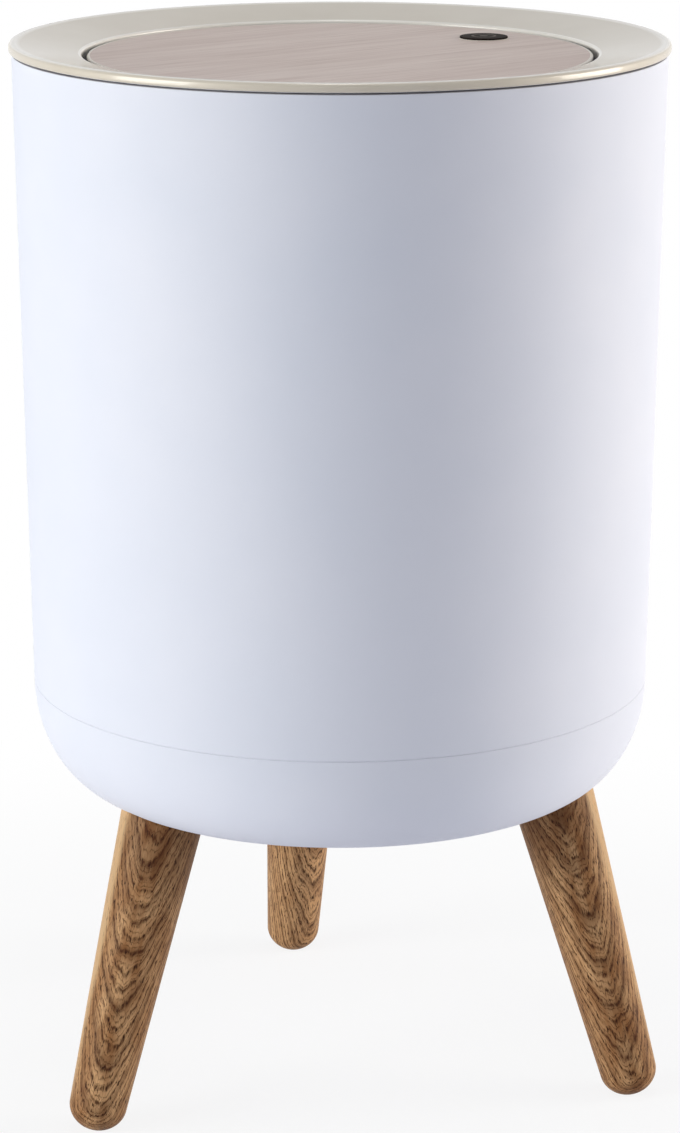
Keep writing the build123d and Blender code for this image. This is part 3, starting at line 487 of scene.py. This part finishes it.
def turnedWood():
    # Turned walnut, oiled: V-shaped rings down the front, straight pale sapwood down one side.
    # It follows the attribute grain, in metres: z up the leg, x towards its front, y towards its sapwood.
    material, tree, shader = newMaterial("oiledWalnut")

    def woodNoise(name):
        across, along, detail, rough = legNoise[name]
        return grainNoise(tree, inMillimetres(tree, "grain", (across, across, along)), 1.0, detail, rough)

    def times(first, second):
        return reckon(tree, "MULTIPLY", first, second)

    def plus(first, second):
        return reckon(tree, "ADD", first, second)

    def strayed(noise, reach):
        return times(noise, 2 * reach)

    axes = addNode(tree, "ShaderNodeSeparateXYZ", None, {0: inMillimetres(tree, "grain")}).outputs
    wander = reckon(tree, "SUBTRACT", woodNoise("wander"), 0.5)
    ripple = reckon(tree, "SUBTRACT", woodNoise("ripple"), 0.5)
    rings = plus(axes["X"], times(axes["Z"], legGrain["rise"]))
    rings = plus(rings, strayed(wander, legGrain["wander"]))
    rings = plus(rings, strayed(ripple, legGrain["ripple"]))

    def ringLines(gap, strength):
        # each ring darkens slowly, and ends in a dark line
        phase = reckon(tree, "FRACT", reckon(tree, "DIVIDE", rings, gap))
        line = addNode(tree, "ShaderNodeValToRGB", None, {0: phase})
        ramp = line.color_ramp.elements
        ramp[0].color = (*[ringShade["start"]] * 3, 1)
        ramp[1].color = (*[ringShade["end"]] * 3, 1)
        for position, level in ringShade["between"]:
            ramp.new(position).color = (level, level, level, 1)
        return times(line.outputs[0], strength)

    ringShare = reckon(tree, "MAXIMUM", ringLines(legGrain["ringGap"], 1.0),
                       ringLines(legGrain["fineGap"], legGrain["fineStrength"]))
    bands = ringLines(legGrain["bandGap"], legGrain["bandStrength"])
    unbroken = spread(tree, woodNoise("breaks"), *woodShare["breaks"])
    fibres = woodNoise("fibres")
    blotches = spread(tree, woodNoise("blotches"), *woodShare["blotches"])
    tone = between(tree, blotches, legGrain["mid"], legGrain["light"])
    tone = between(tree, spread(tree, fibres, *woodShare["fibres"]), tone, legGrain["mid"])
    flank = spread(tree, reckon(tree, "ABSOLUTE", axes["Y"]), legGrain["flankFrom"], legGrain["flankTo"], 0,
                   legGrain["flankShare"])
    # painted light: a paler tone for one leg, which also takes away its painted shade near the socket
    paintedLight = addNode(tree, "ShaderNodeAttribute", {"attribute_name": "paintedLight"}).outputs["Fac"]
    tone = between(tree, reckon(tree, "MAXIMUM", flank, paintedLight), tone, legGrain["light"])
    tone = between(tree, bands, tone, legGrain["ringLine"])
    tone = between(tree, times(times(ringShare, unbroken), legGrain["lineShare"]), tone,
                   legGrain["ringLine"])
    # darker up towards the socket: partly painted shade under the bowl, partly darker figure
    up = plus(upright(tree, inMillimetres(tree, "alongLeg")), times(wander, legGrain["darkWander"]))
    dark = spread(tree, up, legGrain["darkFrom"], legGrain["darkTo"], 0, legGrain["darkShare"])
    dark = times(dark, reckon(tree, "SUBTRACT", 1.0, paintedLight))
    tone = between(tree, dark, tone, legGrain["ringLine"])
    # sapwood, straight and pale
    aside = plus(axes["Y"], times(wander, legGrain["sapWander"]))
    sap = spread(tree, aside, legGrain["sapFrom"], legGrain["sapTo"], 0, legGrain["sapShare"])
    sapTone = between(tree, spread(tree, fibres, *woodShare["sapFibres"]), legGrain["sapwood"],
                      legGrain["light"])
    tone = between(tree, sap, tone, sapTone)
    # pores, short dark dashes that gather in the ring lines
    pits = plus(woodNoise("pores"), times(ringShare, legGrain["poreGather"]))
    pits = spread(tree, pits, *woodShare["pores"])
    pits = times(pits, spread(tree, sap, 0, 1, 1, legGrain["sapPores"]))
    tree.links.new(between(tree, pits, tone, legGrain["pore"]), shader.inputs["Base Color"])
    roughened(tree, shader, fibres, legGrain["roughness"], 0.06, 0.08)
    shader.inputs["Specular IOR Level"].default_value = legGrain["gloss"]
    raised(tree, shader, reckon(tree, "SUBTRACT", fibres, pits), legGrain["relief"])
    return material


finishes = {name: mouldedPlastic(name) for name in mouldings}
finishes.update({name: bareMetal(name) for name in metals})
finishes.update({
    "mattShell": mattShell(), "champagnePaint": champagnePaint(), "printedWood": printedWood(),
    "badgeDisc": badgePlastic("darkSemiGlossAbs", "disc"),
    "badgeMark": badgePlastic("warmGreyPrint", "mark"),
    "badgeRim": badgePlastic("creamAbs", "rim"),
    "turnedWood": turnedWood(),
})
print("finishes are ready:", len(finishes))

# Turned and moulded pieces


def rounded(corners, steps=8):
    # (radius, height[, rounding]) in mm as points, each rounding an arc of steps
    spots = [Vector(c[:2]) for c in corners]
    points = []
    for i, corner in enumerate(corners):
        if len(corner) < 3:
            points.append(spots[i])
            continue
        back = (spots[i - 1] - spots[i]).normalized()
        ahead = (spots[(i + 1) % len(spots)] - spots[i]).normalized()
        half = acos(max(-1, min(1, back.dot(ahead)))) / 2
        centre = spots[i] + (back + ahead).normalized() * corner[2] / sin(half)
        first = spots[i] + back * corner[2] / tan(half) - centre
        last = spots[i] + ahead * corner[2] / tan(half) - centre
        turn = first.angle_signed(last)
        for step in range(steps + 1):
            points.append(centre + Matrix.Rotation(-turn * step / steps, 2) @ first)
    return points


def smoothed(mesh, sharp=35):
    mesh.shade_smooth()
    mesh.set_sharp_from_angle(angle=radians(sharp))
    return mesh


def turnedMesh(name, points, segments):
    # A closed outline in mm, turned round Z. Points on the axis close as one vertex.
    form = bmesh.new()
    rings = []
    for radius, height in points:
        count = segments if radius > 1e-4 else 1
        angles = [2 * pi * i / count for i in range(count)]
        rings.append([form.verts.new((radius * mm * cos(angle), radius * mm * sin(angle), height * mm))
                      for angle in angles])
    for here, there in zip(rings, rings[1:] + rings[:1]):
        if len(here) == 1 and len(there) == 1:
            continue
        for i in range(segments):
            corners = [here[i % len(here)], here[(i + 1) % len(here)], there[(i + 1) % len(there)],
                       there[i % len(there)]]
            form.faces.new(list(dict.fromkeys(corners)))
    bmesh.ops.remove_doubles(form, verts=form.verts, dist=1e-7)
    bmesh.ops.recalc_face_normals(form, faces=form.faces)
    mesh = bpy.data.meshes.new(name)
    form.to_mesh(mesh)
    form.free()
    return smoothed(mesh)


def addPiece(name, mesh, body, node):
    piece = bpy.data.objects.new(name, mesh)
    bpy.context.scene.collection.objects.link(piece)
    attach(piece, body)
    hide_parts(node)


def finished(mesh, finish):
    mesh.materials.clear()
    mesh.materials.append(finishes[finish])
    return mesh


legs = {
    "splay": 16.54,             # degrees
    "footReach": 113.75, "footHeight": 8.98, "footRadius": 10.45, "footRound": 9.5,
    "length": 123.01, "topRadius": 15.65, "edge": 1.0,
    "footSteps": 16, "shaftSteps": 24, "segments": 96,
    # each leg: where it stands, the side its rings show on, in degrees, which way its sapwood lies,
    # a shift in mm, and how much painted light makes it paler, for the leg that the lamps and the bowl leave
    # darker
    "leg_rear": (90, 44, -1, 0, 0.0), "leg_front_left": (210, -62, 1, 37, 0.0),
    "leg_front_right": (330, 212, 1, 83, 0.5),
}


def turnedLeg(name):
    angle, front, sapSide, shift, paintedLight = legs[name]
    turns = [pi / 2 * i / legs["footSteps"] for i in range(legs["footSteps"] + 1)]
    foot = [(legs["footRadius"] * sin(turn), -legs["footRound"] * cos(turn)) for turn in turns]
    slope = (legs["topRadius"] - legs["footRadius"]) / legs["length"]
    high = legs["length"] - legs["edge"]
    levels = [high * i / legs["shaftSteps"] for i in range(1, legs["shaftSteps"] + 1)]
    shaft = [(legs["footRadius"] + slope * level, level) for level in levels]
    top = [(legs["topRadius"] - legs["edge"], legs["length"]), (0, legs["length"])]
    mesh = turnedMesh(name + "_turned", foot + shaft + top, legs["segments"])
    # all three are made before any is filled, as a new one moves those already there
    for label, kind in (("grain", "FLOAT_VECTOR"), ("alongLeg", "FLOAT_VECTOR"), ("paintedLight", "FLOAT")):
        mesh.attributes.new(label, kind, "POINT")
    grain, along, pale = (mesh.attributes[label].data for label in ("grain", "alongLeg", "paintedLight"))
    turn = Matrix.Diagonal((1, sapSide, 1)) @ Matrix.Rotation(radians(-front), 3, "Z")
    for vertex in mesh.vertices:
        grain[vertex.index].vector = turn @ vertex.co + Vector((0, 0, shift * mm))
        along[vertex.index].vector = vertex.co
        pale[vertex.index].value = paintedLight
    mesh.transform(Matrix.Rotation(radians(angle), 4, "Z")
                   @ Matrix.Translation((legs["footReach"] * mm, 0, legs["footHeight"] * mm))
                   @ Matrix.Rotation(radians(-legs["splay"]), 4, "Y"))
    for vertex in mesh.vertices:
        vertex.co.z = max(vertex.co.z, 0)       # the small flat that the leg stands on
    addPiece(name + "_turned", finished(mesh, "turnedWood"), "body", name)


for name in ("leg_rear", "leg_front_left", "leg_front_right"):
    turnedLeg(name)
print("legs are turned")

ring = {
    # the section's corners, (radius, height[, rounding]) in mm: lip, crest, bead, seat, underside
    "section": ((91.7, 377.4), (91.7, 380.6, 1.0), (115.4, 385.0, 1.5), (117.5, 385.0, 1.5),
                (117.5, 381.9, 0.75), (116.0, 381.9), (116.0, 382.8), (115.4, 382.8), (94.7, 378.957),
                (94.7, 377.4)),
    "roundSteps": 10, "segments": 384,
}

ringMesh = turnedMesh("trim_ring", rounded(ring["section"], ring["roundSteps"]), ring["segments"])
addPiece("trim_ring", finished(ringMesh, "champagnePaint"), "lid", "lid_ring")
print("trim ring is turned")

badge = {
    "reach": 68.5, "top": 380.1, "base": 378.9, "radius": 9.2, "edge": 0.2,
    "rimWidth": 0.4, "discTop": 380.7, "discEdge": 0.25, "stem": 1.5, "stemFoot": 377.5,
    "markRing": (4.6, 3.7), "markDot": 1.5, "markRise": 0.06, "segments": 96,
}


def pushBadge():
    # A dark disc that stands in a cream rim, with a plain ring and dot to show where to press.
    radius, edge, top, base = (badge[size] for size in ("radius", "edge", "top", "base"))
    stem, stemFoot, disc = badge["stem"], badge["stemFoot"], badge["discTop"]
    outer, inner = badge["markRing"]
    dot = badge["markDot"]
    face = radius - badge["rimWidth"]
    high = disc + badge["markRise"]             # the printed mark stands a little over the disc
    outlines = {
        "badge_disc": ("badgeDisc", rounded([(0, disc), (face, disc, badge["discEdge"]), (face, base),
                                             (stem, base), (stem, stemFoot), (0, stemFoot)])),
        "badge_rim": ("badgeRim", [(face, top), (radius - edge, top), (radius, top - edge), (radius, base),
                                   (face, base)]),
        "badge_mark_ring": ("badgeMark", [(inner, disc), (inner, high), (outer, high), (outer, disc)]),
        "badge_mark_dot": ("badgeMark", [(0, disc), (dot, disc), (dot, high), (0, high)]),
    }
    for name, (finish, points) in outlines.items():
        mesh = turnedMesh(name, points, badge["segments"])
        mesh.transform(Matrix.Translation((0, -badge["reach"] * mm, 0)))
        addPiece(name, finished(mesh, finish), "flap", "push_badge")


pushBadge()
print("push mark is in place")

# Pieces grown by geometry nodes


def newTree(name, lengths=(), angles=(), counts=()):
    # every size is a named input, and so is the finish
    tree = bpy.data.node_groups.new(name, "GeometryNodeTree")
    for label in (*lengths, *angles):
        socket = tree.interface.new_socket(label, in_out="INPUT", socket_type="NodeSocketFloat")
        socket.subtype = "DISTANCE" if label in lengths else "ANGLE"
    for label in counts:
        tree.interface.new_socket(label, in_out="INPUT", socket_type="NodeSocketInt")
    tree.interface.new_socket("Finish", in_out="INPUT", socket_type="NodeSocketMaterial")
    tree.interface.new_socket("Geometry", in_out="OUTPUT", socket_type="NodeSocketGeometry")
    return tree, addNode(tree, "NodeGroupInput").outputs


def closeTree(tree, given, geometry):
    real = addNode(tree, "GeometryNodeRealizeInstances", None, {0: geometry})
    painted = addNode(tree, "GeometryNodeSetMaterial", None,
                      {"Geometry": real.outputs[0], "Material": given["Finish"]})
    addNode(tree, "NodeGroupOutput", None, {"Geometry": painted.outputs[0]})


def grown(name, tree, sizes, finish, sharp=35):
    # runs a tree once and keeps what it grows as a plain mesh; lengths are given in mm, angles in degrees
    carrier = bpy.data.objects.new(name, bpy.data.meshes.new(name + "_seed"))
    bpy.context.scene.collection.objects.link(carrier)
    modifier = carrier.modifiers.new(name, "NODES")
    modifier.node_group = tree
    for item in tree.interface.items_tree:
        if item.in_out == "INPUT":
            value = finishes[finish] if item.name == "Finish" else sizes[item.name]
            if item.socket_type == "NodeSocketFloat":
                value = value * mm if item.subtype == "DISTANCE" else radians(value)
            modifier[item.identifier] = value
    whole = carrier.evaluated_get(bpy.context.evaluated_depsgraph_get())
    mesh = bpy.data.meshes.new_from_object(whole)
    bpy.data.objects.remove(carrier)
    mesh.name = name
    return smoothed(mesh, sharp)


barrel = {
    "Foot Radius": 113.0, "Mouth Radius": 116.5, "Foot Height": 152.0, "Mouth Height": 381.4, "Wall": 2.2,
    "Seam Bevel": 0.22, "Edge Round": 0.8, "Circle Steps": 320, "Round Steps": 6,
}


def sweptWall():
    # A tapered tube: its wall's section is drawn as four corners, rounded, and swept round the axis.
    tree, given = newTree("sweptWall", ("Foot Radius", "Mouth Radius", "Foot Height", "Mouth Height", "Wall",
                                        "Seam Bevel", "Edge Round"), (), ("Circle Steps", "Round Steps"))
    flare = reckon(tree, "SUBTRACT", given["Mouth Radius"], given["Foot Radius"])
    inward, low, high = (reckon(tree, "MULTIPLY", given[size], -1.0)
                         for size in ("Wall", "Foot Height", "Mouth Height"))
    corners = ((flare, high), (0.0, low), (inward, low), (reckon(tree, "ADD", flare, inward), high))
    places = {f"Point {i + 1}": addNode(tree, "ShaderNodeCombineXYZ", None, {0: x, 1: y}).outputs[0]
              for i, (x, y) in enumerate(corners)}
    section = addNode(tree, "GeometryNodeCurvePrimitiveQuadrilateral", {"mode": "POINTS"}, places)
    atMouth = addNode(tree, "FunctionNodeCompare", {"data_type": "INT", "operation": "EQUAL"},
                      {2: addNode(tree, "GeometryNodeInputIndex").outputs[0], 3: 0})
    bend = addNode(tree, "GeometryNodeSwitch", {"input_type": "FLOAT"},
                   {"Switch": atMouth.outputs[0], "False": given["Seam Bevel"], "True": given["Edge Round"]})
    section = addNode(tree, "GeometryNodeFilletCurve", {"mode": "POLY"},
                      {"Curve": section.outputs[0], "Count": given["Round Steps"], "Radius": bend.outputs[0]})
    path = addNode(tree, "GeometryNodeCurvePrimitiveCircle", {"mode": "RADIUS"},
                   {"Resolution": given["Circle Steps"], "Radius": given["Foot Radius"]})
    level = addNode(tree, "GeometryNodeSetCurveNormal", {"mode": "Z_UP"}, {"Curve": path.outputs["Curve"]})
    swept = addNode(tree, "GeometryNodeCurveToMesh", None,
                    {"Curve": level.outputs[0], "Profile Curve": section.outputs[0]})
    closeTree(tree, given, swept.outputs[0])
    return tree


screwSets = {
    # each set replaces a node; its heads hang below the seat and the shanks run up from it
    "ring_screw_set": ("lid", "ring_screws", {
        "Set Back": 0.0, "Reach": 104.6, "Seat": 371.695, "Head Radius": 3.0, "Head Height": 1.8, "Edge": 0.6,
        "Cross Width": 0.8, "Cross Arm": 1.65, "Shank Radius": 1.3, "Shank Length": 8.5,
        "First Turn": 0, "Count": 6, "Seed": 3}),
    "flap_screw_set": ("flap", "flap_screws", {
        "Set Back": 0.0, "Reach": 60.9, "Seat": 371.7, "Head Radius": 2.6, "Head Height": 1.5, "Edge": 0.6,
        "Cross Width": 0.8, "Cross Arm": 1.43, "Shank Radius": 1.1, "Shank Length": 4.5,
        "First Turn": 45, "Count": 4, "Seed": 5}),
    "striker_screw_set": ("flap", "striker_screws", {
        "Set Back": 80.9, "Reach": 6.875, "Seat": 373.5, "Head Radius": 2.3, "Head Height": 1.0, "Edge": 0.6,
        "Cross Width": 0.8, "Cross Arm": 1.27, "Shank Radius": 1.1, "Shank Length": 3.4,
        "First Turn": 0, "Count": 2, "Seed": 8}),
}


def screwCircle():
    # Pan-head screws round a circle: a bevelled head with a cross in it and a plain shank.
    tree, given = newTree(
        "screwCircle", ("Set Back", "Reach", "Seat", "Head Radius", "Head Height", "Edge", "Cross Width",
                        "Cross Arm", "Shank Radius", "Shank Length"), ("First Turn",), ("Count", "Seed"))
    headSides, shankSides = 40, 24
    high = given["Head Height"]
    half = reckon(tree, "MULTIPLY", high, 0.5)

    def lowered(geometry, depth):
        below = reckon(tree, "MULTIPLY", depth, -1.0)
        place = addNode(tree, "ShaderNodeCombineXYZ", None, {2: below}).outputs[0]
        return addNode(tree, "GeometryNodeTransform", None,
                       {"Geometry": geometry, "Translation": place}).outputs[0]

    # the head starts as a cylinder of three rings: the lowest is drawn in, the middle one set at the bevel
    blank = addNode(tree, "GeometryNodeMeshCylinder", None,
                    {"Vertices": headSides, "Side Segments": 2, "Radius": given["Head Radius"],
                     "Depth": high})
    spot = addNode(tree, "GeometryNodeInputPosition").outputs[0]
    level = reckon(tree, "DIVIDE", upright(tree, spot), high)
    lowest = reckon(tree, "LESS_THAN", level, -0.25)
    middle = reckon(tree, "LESS_THAN", reckon(tree, "ABSOLUTE", level), 0.25)
    inward = reckon(tree, "MULTIPLY", lowest, reckon(tree, "DIVIDE", given["Edge"], given["Head Radius"]))
    wide = reckon(tree, "SUBTRACT", 1.0, inward)
    drop = reckon(tree, "MULTIPLY", middle, reckon(tree, "SUBTRACT", given["Edge"], half))
    size = addNode(tree, "ShaderNodeCombineXYZ", None, {0: wide, 1: wide, 2: 1.0}).outputs[0]
    shift = addNode(tree, "ShaderNodeCombineXYZ", None, {2: drop}).outputs[0]
    bevelled = addNode(tree, "GeometryNodeSetPosition", None,
                       {"Geometry": blank.outputs["Mesh"], "Offset": shift,
                        "Position": addNode(tree, "ShaderNodeVectorMath", {"operation": "MULTIPLY"},
                                            {0: spot, 1: size}).outputs[0]})
    cut = addNode(tree, "GeometryNodeMeshBoolean", {"operation": "DIFFERENCE", "solver": "EXACT"},
                  {0: lowered(bevelled.outputs[0], half)})
    arm = reckon(tree, "MULTIPLY", given["Cross Arm"], 2.0)
    for long, wide in ((arm, given["Cross Width"]), (given["Cross Width"], arm)):
        size = addNode(tree, "ShaderNodeCombineXYZ", None, {0: long, 1: wide, 2: high}).outputs[0]
        bar = addNode(tree, "GeometryNodeMeshCube", None, {"Size": size}).outputs["Mesh"]
        tree.links.new(lowered(bar, high), cut.inputs[1])
    # the shank starts inside the head, above the cross
    inside = reckon(tree, "MULTIPLY", high, 0.25)
    shank = addNode(tree, "GeometryNodeMeshCylinder", None,
                    {"Vertices": shankSides, "Radius": given["Shank Radius"],
                     "Depth": reckon(tree, "ADD", given["Shank Length"], inside)}).outputs["Mesh"]
    sunk = reckon(tree, "MULTIPLY", reckon(tree, "SUBTRACT", inside, given["Shank Length"]), 0.5)
    screw = addNode(tree, "GeometryNodeJoinGeometry", None, {0: cut.outputs[0]})
    tree.links.new(lowered(shank, sunk), screw.inputs[0])
    # one point for each screw, and each screw driven home at its own angle
    step = reckon(tree, "DIVIDE", 2 * pi, given["Count"])
    turn = reckon(tree, "MULTIPLY", addNode(tree, "GeometryNodeInputIndex").outputs[0], step)
    turn = reckon(tree, "ADD", turn, given["First Turn"])
    x, y = (reckon(tree, "MULTIPLY", reckon(tree, part, turn), given["Reach"])
            for part in ("COSINE", "SINE"))
    place = addNode(tree, "ShaderNodeCombineXYZ", None,
                    {0: x, 1: reckon(tree, "SUBTRACT", y, given["Set Back"]), 2: given["Seat"]}).outputs[0]
    points = addNode(tree, "GeometryNodePoints", None, {"Count": given["Count"], "Position": place})
    spin = addNode(tree, "FunctionNodeRandomValue", {"data_type": "FLOAT"},
                   {2: 0.0, 3: 2 * pi, "Seed": given["Seed"]})
    spun = addNode(tree, "ShaderNodeCombineXYZ", None, {2: spin.outputs[1]}).outputs[0]
    driven = addNode(tree, "GeometryNodeInstanceOnPoints", None,
                     {"Points": points.outputs[0], "Instance": screw.outputs[0], "Rotation": spun})
    closeTree(tree, given, driven.outputs[0])
    return tree


ringPosts = {
    "Reach": 104.6, "Foot": 373.295, "Top": 381.9, "Foot Radius": 3.2, "Count": 6, "Sides": 32,
}


def standingPosts():
    # The ring's screw posts: a round post at each step of a circle.
    tree, given = newTree("standingPosts", ("Reach", "Foot", "Top", "Foot Radius"), (), ("Count", "Sides"))
    height = reckon(tree, "SUBTRACT", given["Top"], given["Foot"])
    post = addNode(tree, "GeometryNodeMeshCylinder", None,
                   {"Vertices": given["Sides"], "Radius": given["Foot Radius"], "Depth": height})
    circle = addNode(tree, "GeometryNodeMeshCircle", None,
                     {"Vertices": given["Count"], "Radius": given["Reach"]})
    stood = addNode(tree, "GeometryNodeInstanceOnPoints", None,
                    {"Points": circle.outputs[0], "Instance": post.outputs["Mesh"]})
    middle = reckon(tree, "MULTIPLY", reckon(tree, "ADD", given["Top"], given["Foot"]), 0.5)
    place = addNode(tree, "ShaderNodeCombineXYZ", None, {2: middle}).outputs[0]
    raisedPosts = addNode(tree, "GeometryNodeTransform", None,
                          {"Geometry": stood.outputs[0], "Translation": place})
    closeTree(tree, given, raisedPosts.outputs[0])
    return tree


latchCoil = {
    "Set Back": 79.9, "Foot": 333.2, "Rise": 14.05, "Coil Radius": 2.0, "Wire Radius": 0.3,
    "Turns": 6, "Steps Per Turn": 48, "Wire Steps": 14,
}


def woundCoil():
    # A compression spring: a helix with round wire swept along it.
    tree, given = newTree("woundCoil", ("Set Back", "Foot", "Rise", "Coil Radius", "Wire Radius"), (),
                          ("Turns", "Steps Per Turn", "Wire Steps"))
    helix = addNode(tree, "GeometryNodeCurveSpiral", None,
                    {"Resolution": given["Steps Per Turn"], "Rotations": given["Turns"],
                     "Start Radius": given["Coil Radius"], "End Radius": given["Coil Radius"],
                     "Height": given["Rise"]})
    wire = addNode(tree, "GeometryNodeCurvePrimitiveCircle", {"mode": "RADIUS"},
                   {"Resolution": given["Wire Steps"], "Radius": given["Wire Radius"]})
    swept = addNode(tree, "GeometryNodeCurveToMesh", None,
                    {"Curve": helix.outputs[0], "Profile Curve": wire.outputs["Curve"], "Fill Caps": True})
    back = reckon(tree, "MULTIPLY", given["Set Back"], -1.0)
    place = addNode(tree, "ShaderNodeCombineXYZ", None, {1: back, 2: given["Foot"]}).outputs[0]
    moved = addNode(tree, "GeometryNodeTransform", None,
                    {"Geometry": swept.outputs[0], "Translation": place})
    closeTree(tree, given, moved.outputs[0])
    return tree


barrelMesh = grown("tapered_barrel", sweptWall(), barrel, "mattShell")
addPiece("tapered_barrel", barrelMesh, "body", "outer_barrel")
screwTree = screwCircle()
for name, (body, node, sizes) in screwSets.items():
    addPiece(name, grown(name, screwTree, sizes, "zincSteel", 25), body, node)
coilMesh = grown("latch_coil", woundCoil(), latchCoil, "springWire")
addPiece("latch_coil", coilMesh, "lid", "latch_spring")
postMesh = grown("ring_posts", standingPosts(), ringPosts, "champagnePaint")
addPiece("ring_posts", postMesh, "lid", "lid_ring")
print("barrel, screws, posts and latch spring are grown")

# Pieces that keep the frame's own mesh

kept = {
    "base_bowl": "mattShell", "leg_studs": "zincSteel", "leg_inserts": "turnedBrass",
    "liner_bucket": "palePolypropylene", "lid_underframe": "whiteAbs",
    "flap_buffers": "softRubber", "hinge_pin": "zincSteel", "hinge_spring": "springWire",
    "flap_panel": "printedWood", "flap_tray": "whiteAbs", "latch_striker": "whiteAcetal",
    "latch_housing": "greyAcetal", "latch_slider": "whiteAcetal", "latch_jaws": "whiteAcetal",
    "latch_cam_pin": "springWire", "latch_screws": "zincSteel",
}

for node, finish in kept.items():
    finished(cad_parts[node].data, finish)
print("the frame's own pieces have their finishes")
